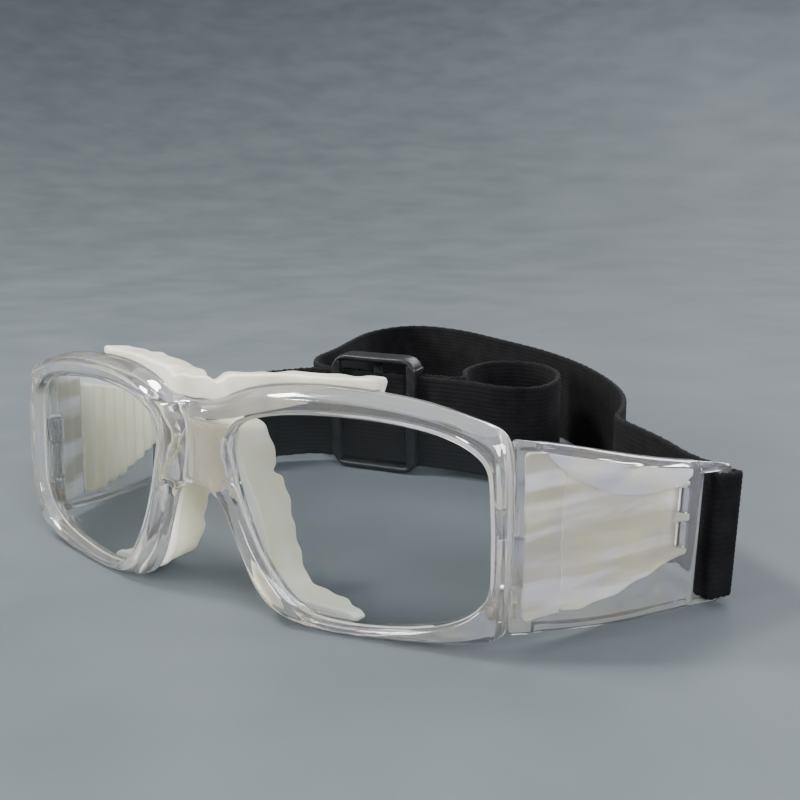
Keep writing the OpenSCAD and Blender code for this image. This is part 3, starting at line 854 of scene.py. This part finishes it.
def strap_section():
    """Across the thickness and up the width: ribbed faces between two round edges."""
    z = np.linspace(SELVEDGE, STRAP_W - SELVEDGE, RIBS * 4 + 1)
    turns = (z - SELVEDGE) / (STRAP_W - 2 * SELVEDGE) * RIBS * math.pi
    rib = RIB_D * (1 - np.abs(np.cos(turns)) ** 1.5)
    half = STRAP_T / 2 - RIB_D
    edge = np.linspace(-math.pi / 2, math.pi / 2, 7)
    right = np.stack([half + rib, z], 1)
    left = np.stack([-half - rib[::-1], z[::-1]], 1)
    top = np.stack([half * np.sin(-edge), STRAP_W - SELVEDGE + SELVEDGE * np.cos(edge)], 1)[1:-1]
    low = np.stack([half * np.sin(edge), SELVEDGE - SELVEDGE * np.cos(edge)], 1)[1:-1]
    return np.concatenate([right, top, left, low])


def ribbon(line, directions, place):
    """Sweeps the webbing's section along a line; directions are the line's sideways normals."""
    section = strap_section()
    rim = smooth((np.abs(section[:, 1] - STRAP_W / 2) - STRAP_W / 2 + 1.2) / 1.2)
    rim = rim * np.sign(section[:, 1] - STRAP_W / 2)
    rows = []
    for at, n, d in zip(line, directions, lengths(line)):
        pick = 0.11 * math.sin(d * 3.6) + 0.07 * math.sin(d * 1.37 + 1) - 0.18
        x, y = at[0] + n[0] * section[:, 0], at[1] + n[1] * section[:, 0]
        rows.append(place(x, y, at[2] + section[:, 1] + pick * rim))
    points, faces = swept(rows)
    along, up = np.repeat(lengths(line), len(section)), np.tile(section[:, 1], len(rows))
    return points, faces, np.stack([along, up, np.zeros(len(points))], 1)


def strap_part(first, last):
    """A stretch of the webbing between two of its route's points."""
    t = tangents(STRAP_LINE)[:, :2]
    normal = left_of(t / np.linalg.norm(t, axis=1, keepdims=True))
    a, b = first * STRAP_STEPS, last * STRAP_STEPS + 1
    return ribbon(STRAP_LINE[a:b], normal[a:b], on_table)


LOOP_PLAY = 0.15
LOOP_D = LOOP_PLAY + STRAP_T / 2
TAIL_END = -SHIELD_T / 2 - LOOP_PLAY - STRAP_T - 4.3


def loop_line():
    """The webbing's path round the bar: outwards, x, and back from the bar's middle, y."""
    hx, hy = SHIELD_T / 2, BAR_W / 2
    d = LOOP_D
    path = [(x, hy + d) for x in (TAIL_END, TAIL_END + 1, *np.linspace(TAIL_END + 2, hx, 6))]
    for cx, cy, start in ((hx, hy, 90), (hx, -hy, 0), (-hx, -hy, -90)):
        for angle in np.linspace(start, start - 90, 7)[1:]:
            path.append((cx + d * math.cos(math.radians(angle)), cy + d * math.sin(math.radians(angle))))
    inner = hy + d - STRAP_T - 0.03
    path += [(-hx - d, -0.9), (-hx - d - 0.03, -0.2), (-hx - d - 0.3, 0.5), (-hx - d - 0.9, inner - 0.12),
             (-hx - d - 1.7, inner)]
    path += [(TAIL_END + 1.5, inner), (TAIL_END, inner)]
    return np.array(path, float)


def at_bar(name):
    """Places points given outwards, x, and back, y, from the middle of a shield's bar."""
    return lambda x, y, z: on_shield(SHIELD_T / 2 - x, y + SHIELD_LEN - BAR_W / 2, z, name)


def strap_anchor(name):
    """The sewn loop round a shield's bar."""
    path = loop_line()
    path = at_length(path, np.linspace(0, lengths(path)[-1], 90))
    line = np.concatenate([path, np.full((len(path), 1), SLOT_Z - STRAP_W / 2)], 1)
    return ribbon(line, left_of(tangents(path)), at_bar(name))


def tube(path, radius, place, steps=6):
    """A round thread along a path."""
    t = tangents(path)
    up = np.cross(t, (0, 0, 1.0))
    weak = np.linalg.norm(up, axis=1) < 0.2
    up[weak] = np.cross(t[weak], (1.0, 0, 0))
    up /= np.linalg.norm(up, axis=1, keepdims=True)
    other = np.cross(t, up)
    a = full_turn(steps)
    across = np.cos(a)[None, :, None] * up[:, None] + np.sin(a)[None, :, None] * other[:, None]
    return swept([place(*ring.T) for ring in path[:, None] + radius * across])


TACK_PITCH, THREAD_R = 1.2, 0.17


def bar_tack(name):
    """Zigzag stitching on both faces of the overlap that closes a loop."""
    outer = BAR_W / 2 + LOOP_D + STRAP_T / 2 + 0.03
    inner = outer - 2 * STRAP_T - 0.1
    parts = []
    for y in (outer, inner):
        z = np.arange(1.2, STRAP_W - 1.2, TACK_PITCH / 2)
        x = TAIL_END + np.where(np.arange(len(z)) % 2, 0.9, 3.6)
        turns = np.stack(np.broadcast_arrays(x, y, z + SLOT_Z - STRAP_W / 2), 1)
        path = at_length(turns, np.linspace(0, lengths(turns)[-1], len(z) * 8))
        parts.append(tube(path, THREAD_R, at_bar(name)))
    return joined(*parts)


# ---------------------------------------------------------------- slider
SLIDER_L, SLIDER_H, RAIL_W, END_BAR, CENTRE_BAR = 29.0, 36.0, 2.1, 3.0, 3.2
LAYER_Y = STRAP_T + 0.9
END_BAR_T = 2.0
CENTRE_BAR_T = 1.2
SLIDER_LIFT = 0.1


def on_slider(x, z, y):
    x, y = turn(x, y, SLIDER_ANGLE)
    return on_table(x + SLIDER_AT[0], y + SLIDER_AT[1], z + SLIDER_LIFT + SLIDER_H / 2)


def slider():
    """A tri-glide: two rails, two end bars and a centre bar that the webbing turns round."""
    near = np.array([0, 0.02, 0.08, 0.2, 0.4, 0.65, 0.95])
    half_l, half_h = SLIDER_L / 2, SLIDER_H / 2
    inner = half_l - END_BAR
    x = np.concatenate([-half_l + near, np.linspace(-half_l + 1.2, -inner - 0.3, 6), -inner - near[2::-1],
                        np.linspace(-inner + 0.8, -0.8, 10)])
    x = np.concatenate([x, [0], -x[::-1]])
    drop = corner(x, -half_l, half_l, 5.2)
    top = half_h - drop
    window = half_h - RAIL_W - drop * 0.35
    rows = []
    for t, w in zip(top, window):
        edge = graded(np.array([t - w]), 0.7, 1)[0]
        high = np.concatenate([[w - 1.2, w - 0.6, w - 0.2], w + edge])
        rows.append(np.concatenate([-high[::-1], np.linspace(-w + 1.5, w - 1.5, 16), high]))
    z = np.array(rows)
    count = z.shape[1]
    rail = len(edge)

    def in_window(face):
        i, j = divmod(face[0], count)
        return within(x[i], -inner, inner) and rail - 1 <= j < count - rail

    is_rail = np.array([[j < rail or j >= count - rail for j in range(count)]] * len(x))
    back = np.where(is_rail, LAYER_Y, -LAYER_Y)
    body = plate(grid_points(x, z), cells(*z.shape, in_window), -LAYER_Y - END_BAR_T, back,
                 (0.8, 0.25), (0.6, 0.15), on_slider)
    w, t = CENTRE_BAR / 2, CENTRE_BAR_T / 2
    outline = soft_polygon([(-w, -t), (w, -t), (w, t), (-w, t)], [0.45] * 4)
    reach = half_h - RAIL_W + 0.3
    return joined(body, prism(outline, -reach, reach, 0.1, lambda x, y, z: on_slider(x, z, y)))


# ---------------------------------------------------------------- materials
class Finish:
    """A material whose colour, roughness and relief come from noise in the object's own space."""

    def __init__(self, name, **settings):
        self.material = bpy.data.materials.new(name)
        self.material.use_nodes = True
        self.tree = self.material.node_tree
        self.link = self.tree.links.new
        self.shader = self.tree.nodes["Principled BSDF"]
        self.height = None
        for key, value in settings.items():
            self.shader.inputs[key.replace("_", " ").title().replace("Ior", "IOR")].default_value = value

    def node(self, kind, **values):
        node = self.tree.nodes.new(kind)
        for key, value in values.items():
            setattr(node, key, value)
        return node

    def noise(self, size_mm, detail=3, stretch=(1, 1, 1)):
        """Noise with features of about this size."""
        where = self.node("ShaderNodeTexCoord")
        scale = self.node("ShaderNodeMapping")
        scale.inputs["Scale"].default_value = [k / (size_mm * MM) for k in stretch]
        noise = self.node("ShaderNodeTexNoise")
        noise.inputs["Scale"].default_value = 1
        noise.inputs["Detail"].default_value = detail
        self.link(where.outputs["Object"], scale.inputs["Vector"])
        self.link(scale.outputs["Vector"], noise.inputs["Vector"])
        return noise.outputs["Fac"]

    def colour(self, source, one, other, ramp_from=0.32, ramp_to=0.68):
        """Base colour that follows noise, from one colour to another."""
        ramp = self.node("ShaderNodeValToRGB")
        for stop, at, colour in zip(ramp.color_ramp.elements, (ramp_from, ramp_to), (one, other)):
            stop.position, stop.color = at, (*colour, 1)
        self.link(source, ramp.inputs["Fac"])
        self.link(ramp.outputs["Color"], self.shader.inputs["Base Color"])
        return self

    def rough(self, source, low, high):
        """Roughness that follows noise, between two values."""
        node = self.node("ShaderNodeMapRange")
        for key, value in {"From Min": 0.3, "From Max": 0.7, "To Min": low, "To Max": high}.items():
            node.inputs[key].default_value = value
        self.link(source, node.inputs["Value"])
        self.link(node.outputs["Result"], self.shader.inputs["Roughness"])
        return self

    def relief(self, source, depth_mm, strength=1.0):
        """Fine relief on top of any that is there already."""
        bump = self.node("ShaderNodeBump")
        bump.inputs["Distance"].default_value = depth_mm * MM
        bump.inputs["Strength"].default_value = strength
        self.link(source, bump.inputs["Height"])
        if self.height:
            self.link(self.height, bump.inputs["Normal"])
        self.height = bump.outputs["Normal"]
        self.link(self.height, self.shader.inputs["Normal"])
        return self

    def combine(self, operation, *values):
        """A Math node, on sockets and plain numbers."""
        node = self.node("ShaderNodeMath", operation=operation)
        for socket, value in zip(node.inputs, values):
            if isinstance(value, float):
                socket.default_value = value
            else:
                self.link(value, socket)
        return node.outputs[0]

    def weave(self):
        """Height of a tight weave: cords along the webbing, crossed by finer picks."""
        where = self.node("ShaderNodeAttribute", attribute_name="weave")
        split = self.node("ShaderNodeSeparateXYZ")
        self.link(where.outputs["Vector"], split.inputs["Vector"])
        waves = []
        for axis, pitch in (("X", WEAVE_PICK), ("Y", (STRAP_W - 2 * SELVEDGE) / RIBS / 2)):
            angle = self.combine("MULTIPLY", split.outputs[axis], 2 * math.pi / pitch)
            waves.append(self.combine("SINE", angle))
        return self.combine("MULTIPLY", *waves)


def clear_plastic(name="clear_plastic", wave_mm=7, wave_depth=0.22, stretch=(1, 1, 1)):
    """Clear moulding with slow waves in its surface."""
    f = Finish(name, ior=1.54, transmission_weight=0.95, coat_weight=0.4, coat_roughness=0.02)
    f.colour(f.noise(8), (1, 0.975, 0.89), (0.95, 0.94, 1), 0.42, 0.58)
    f.rough(f.noise(3), 0.015, 0.06)
    f.relief(f.noise(wave_mm, 1, stretch), wave_depth, 0.5)
    return f.relief(f.noise(0.6, 2), 0.004, 0.4).material


def lens_plastic():
    """Polished polycarbonate, slightly grey."""
    f = Finish("lens", ior=1.32, transmission_weight=1, roughness=0.01, specular_ior_level=0.2)
    f.colour(f.noise(30), (0.67, 0.7, 0.71), (0.71, 0.735, 0.745))
    f.rough(f.noise(12), 0.004, 0.014)
    return f.relief(f.noise(18, 1), 0.02, 0.2).material


def ground_plastic():
    """The lens's matt ground rim."""
    f = Finish("ground_edge", ior=1.5, transmission_weight=0.25)
    f.colour(f.noise(2), (0.95, 0.94, 0.88), (0.9, 0.88, 0.82))
    f.rough(f.noise(1), 0.5, 0.7)
    return f.relief(f.noise(0.2, 2), 0.02, 0.6).material


def silicone(name, light, dark, through=0.0, scatter=0.45, size_mm=7, stretch=(1, 1, 1), ramp=(0.32, 0.68)):
    f = Finish(name, ior=1.43, transmission_weight=through, subsurface_weight=scatter, subsurface_scale=0.004,
               subsurface_radius=(1.0, 0.9, 0.65), coat_weight=0.12, coat_roughness=0.35)
    f.colour(f.noise(size_mm, 3, stretch), light, dark, *ramp)
    f.rough(f.noise(1.6), 0.34, 0.5)
    return f.relief(f.noise(4, 2), 0.16, 0.5).relief(f.noise(0.25, 2), 0.012, 0.5).material


def webbing():
    """Black ribbed elastic."""
    f = Finish("webbing", ior=1.4, specular_ior_level=0.12, sheen_weight=0.02, sheen_roughness=0.4)
    f.colour(f.noise(5), (0.003, 0.003, 0.0035), (0.006, 0.006, 0.0065))
    f.rough(f.noise(0.8), 0.72, 0.95)
    return f.relief(f.weave(), 0.06, 0.6).relief(f.noise(0.2, 2), 0.06, 0.6).material


def thread():
    """Twisted black sewing thread."""
    f = Finish("thread", specular_ior_level=0.3, sheen_weight=0.2)
    f.colour(f.noise(0.6), (0.006, 0.006, 0.007), (0.02, 0.02, 0.022))
    f.rough(f.noise(0.3), 0.5, 0.8)
    return f.relief(f.noise(0.15, 1, (1, 1, 3)), 0.05, 0.8).material


def slider_plastic():
    """Fine-grained black acetal."""
    f = Finish("slider", ior=1.5, specular_ior_level=0.2)
    f.colour(f.noise(3), (0.006, 0.006, 0.0065), (0.014, 0.014, 0.015))
    f.rough(f.noise(1.5), 0.3, 0.45)
    return f.relief(f.noise(0.35, 3), 0.02, 0.4).material


def metal(name, light, dark):
    """Turned metal with fine marks."""
    f = Finish(name, metallic=1.0)
    f.colour(f.noise(0.7), light, dark)
    f.rough(f.noise(0.4), 0.18, 0.4)
    return f.relief(f.noise(0.2, 2, (1, 1, 6)), 0.01, 0.5).material


def studio_floor():
    """A plain matt grey-blue surface."""
    f = Finish("floor", specular_ior_level=0.25)
    f.colour(f.noise(60, 4), (0.076, 0.09, 0.097), (0.094, 0.109, 0.117))
    f.rough(f.noise(30), 0.6, 0.75)
    return f.relief(f.noise(1.5, 3), 0.05, 0.25).material


clear = clear_plastic()
lens_clear = lens_plastic()
ground_edge = ground_plastic()
shield_clear = clear_plastic("clear_shield", 6, 0.45, (0.3, 0.3, 1.3))
white_silicone = silicone("white_silicone", (0.7, 0.685, 0.59), (0.44, 0.425, 0.335), 0, 0.2, 11)
cream_silicone = silicone("clear_silicone", (0.98, 0.955, 0.76), (0.92, 0.875, 0.62), 0.06, 0.45)
temple_silicone = silicone("temple_silicone", (0.93, 0.9, 0.68), (0.87, 0.84, 0.6), 0.04, 0.4)
# Painted light: stretched noise from beige to white on the pads' outward faces stands for the bright
# reflected streaks and darker bands seen through the waved shields.
light_streak_silicone = silicone("light_streak_silicone", (0.6, 0.575, 0.42), (1, 1, 0.99), 0.02, 0.08, 6,
                             (0.14, 0.14, 1.1), (0.51, 0.66))
# Painted light in the same way on the thin flange: beige-to-white streaks stand for reflections and shade
# through the shield.
flange_light_streaks = silicone("flange_light_streaks", (0.58, 0.56, 0.42), (1, 1, 0.99), 0.2, 0.1, 6, (0.14, 0.14, 1.1),
                         (0.5, 0.64))
# Painted shade: a darker, browner copy of the nose silicone for the front of the web behind the bridge,
# standing for the shade that falls on it.
shaded_web_silicone = silicone("shaded_web_silicone", (0.62, 0.565, 0.33), (0.54, 0.49, 0.28), 0, 0.15)
# Painted highlight: a whiter copy of the nose silicone for the ridge against the rims, standing for the
# bright line along it.
highlit_ridge_silicone = silicone("highlit_ridge_silicone", (1, 0.97, 0.86), (0.96, 0.925, 0.8), 0, 0.2)
crest_silicone = silicone("crest_silicone", (0.96, 0.98, 1), (0.9, 0.93, 0.98), 0, 0.3)
black_webbing, black_thread, black_plastic = webbing(), thread(), slider_plastic()
steel = metal("screw", (0.62, 0.62, 0.63), (0.48, 0.48, 0.5))
brass = metal("insert", (0.72, 0.55, 0.27), (0.6, 0.44, 0.2))


# ---------------------------------------------------------------- pieces
def add(name, solid, material, body, slot, *nodes, angle=40):
    """One visible piece: what it rides on, its material slot, which is not used, and the CAD nodes it stands
    for.
    """
    piece = new_piece(name, *solid[:2], material, angle, *solid[2:])
    if body:
        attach(piece, body)
    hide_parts(*nodes)
    return piece


front = joined(half_front(1), half_front(-1), *ears(1), *ears(-1))
add("front_moulding", front, clear, "front", "clear_frame", "front_frame")
add("brow_cushion", brow_pad(), white_silicone, "front", "white_silicone", "brow_pad")
saddle = joined(nose_wall(), nose_web())
nose = add("nose_cushion", saddle, cream_silicone, "front", "clear_silicone", "nose_pad")
# Paints a highlight on the nose pad's ridge against the rims with the whiter copy of the silicone.
second_finish(nose, highlit_ridge_silicone, on_highlit_ridge)
# Paints shade on the front of the web behind the bridge with the darker copy of the silicone.
second_finish(nose, shaded_web_silicone, in_web_shade)
middle = strap_part(RUN_LEFT_END, RUN_RIGHT_START)
add("head_strap", middle, black_webbing, "front", "webbing", "strap_webbing")
add("adjuster", slider(), black_plastic, "slider", "slider", "strap_slider")
for name, side in SIDE.items():
    shield, pad_node = f"{name}_shield", f"side_pad_{name}"
    glass = add(f"{name}_lens", lens(side), lens_clear, "front", "lens", f"lens_{name}")
    second_finish(glass, ground_edge, in_groove(side))
    add(f"{name}_shield_moulding", side_shield(name), shield_clear, shield, "clear_frame",
        f"side_shield_{name}")
    # The flange's finish paints bright streaks and darker shade bands along it.
    add(f"{name}_cushion_flange", pad_flange(name), flange_light_streaks, shield, "clear_silicone", pad_node)
    add(f"{name}_cushion_crest", pad_crest(name), crest_silicone, shield, "clear_silicone", pad_node)
    pad = add(f"{name}_temple_cushion", side_pad(name), temple_silicone, shield, "clear_silicone", pad_node)
    # Paints bright streaks and darker bands, standing for reflections and shade through the shield, on the
    # pad's outward faces.
    inner, outer = on_shield(np.array([3.0, 0.0]), 30.0, 0.0, name)
    outward = Vector(outer - inner).normalized()
    second_finish(pad, light_streak_silicone, lambda _centre, normal: normal.dot(outward) > 0.5)
    pin = add(f"{name}_hinge_screw", screw(side), steel, "front", "screw", f"hinge_screw_{name}")
    cut_cross(pin, side)
    add(f"{name}_hinge_insert", insert(side), brass, "front", "insert", f"hinge_insert_{name}", angle=20)
    add(f"{name}_strap_loop", strap_anchor(name), black_webbing, shield, "webbing", f"strap_anchor_{name}")
    add(f"{name}_stitching", bar_tack(name), black_thread, shield, "thread", f"bar_tack_{name}", angle=80)


def route_point(index):
    """A point of the webbing's middle line, for the joint between two stretches."""
    x, y, z = STRAP_LINE[index * STRAP_STEPS]
    return tuple(on_table(x, y, z + STRAP_W / 2))


ROUTE_END = len(STRAP_ROUTE) - 2
for name, at_shield, at_front in (("left", 0, RUN_LEFT_END), ("right", ROUTE_END, RUN_RIGHT_START)):
    stretch = strap_part(min(at_shield, at_front), max(at_shield, at_front))
    run = add(f"{name}_strap_run", stretch, black_webbing, None, "webbing", f"strap_run_{name}")
    route_point(at_shield)
    route_point(at_front)
    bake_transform(run)

# ---------------------------------------------------------------- camera, lights and floor
CAMERA_AT = (0.16544, -0.26589, 0.10012)
CAMERA_YAW = 35.09
CAMERA_PITCH = 12.96
CAMERA_ROLL = -0.78
CAMERA_FOV = 38.92


def make_camera():
    """The camera at the photograph's viewing angle."""
    data = bpy.data.cameras.new("camera")
    data.sensor_width = 36
    data.angle = math.radians(CAMERA_FOV)
    data.clip_start, data.clip_end = 0.01, 20
    camera = in_scene("camera", data)
    camera.matrix_world = (
        Matrix.Translation(CAMERA_AT)
        @ Matrix.Rotation(math.radians(CAMERA_YAW), 4, "Z")
        @ Matrix.Rotation(math.radians(90 - CAMERA_PITCH), 4, "X")
        @ Matrix.Rotation(math.radians(CAMERA_ROLL), 4, "Z")
    )
    bpy.context.scene.camera = camera


def area_light(name, at, look_at, width, height, power, tint=(1, 1, 1)):
    data = bpy.data.lights.new(name, "AREA")
    data.shape = "RECTANGLE"
    data.size, data.size_y, data.energy, data.color = width, height, power, tint
    light = in_scene(name, data)
    light.location = at
    light.rotation_mode = "QUATERNION"
    light.rotation_quaternion = (Vector(look_at) - Vector(at)).to_track_quat("-Z", "Y")


def studio_floor_mesh(flat=0.5, radius=2.6, steps=40, sides=96):
    """A round floor that curves gently up into a low wall all the way round."""
    angle = np.linspace(0, math.pi / 3, steps)
    profile = [(0.02, 0), (0.25, 0), (flat, 0)]
    profile += [(flat + radius * math.sin(a), radius * (1 - math.cos(a))) for a in angle[1:]]
    around = full_turn(sides)
    rings = [np.stack(np.broadcast_arrays(r * np.cos(around), r * np.sin(around), h), 1) for r, h in profile]
    return np.concatenate(rings), [*grid_faces(len(profile), sides, False, True), tuple(range(sides))]


make_camera()
area_light("overhead", (-0.3, 0.2, 1.7), (0, 0, 0), 2.4, 2.0, 26)
area_light("key", (-0.5, -0.3, 0.85), (0, -0.03, 0.02), 0.22, 0.18, 12, (1, 0.98, 0.94))
area_light("fill", (0.75, -0.5, 0.45), (0, -0.03, 0.02), 0.3, 0.45, 15, (0.95, 0.95, 1))
area_light("rim", (0.26, 1.45, 0.85), (0, 0, 0.02), 1.75, 0.28, 19, (0.95, 0.94, 1))
area_light("strip", (-1.4, -1.0, 0.5), (0, -0.05, 0.02), 0.18, 1.2, 62)
area_light("left_spark", (-0.3, -0.75, 0.6), (0, -0.08, 0.02), 0.07, 0.09, 2.2)
area_light("right_spark", (0.75, -0.75, 0.62), (0, -0.08, 0.02), 0.07, 0.09, 2.2, (0.93, 0.93, 1))

world = bpy.data.worlds.new("studio")
world.use_nodes = True
world.node_tree.nodes["Background"].inputs["Color"].default_value = (0.62, 0.66, 0.7, 1)
world.node_tree.nodes["Background"].inputs["Strength"].default_value = 0.4
bpy.context.scene.world = world

floor = new_piece("floor", *studio_floor_mesh(), studio_floor(), 60)
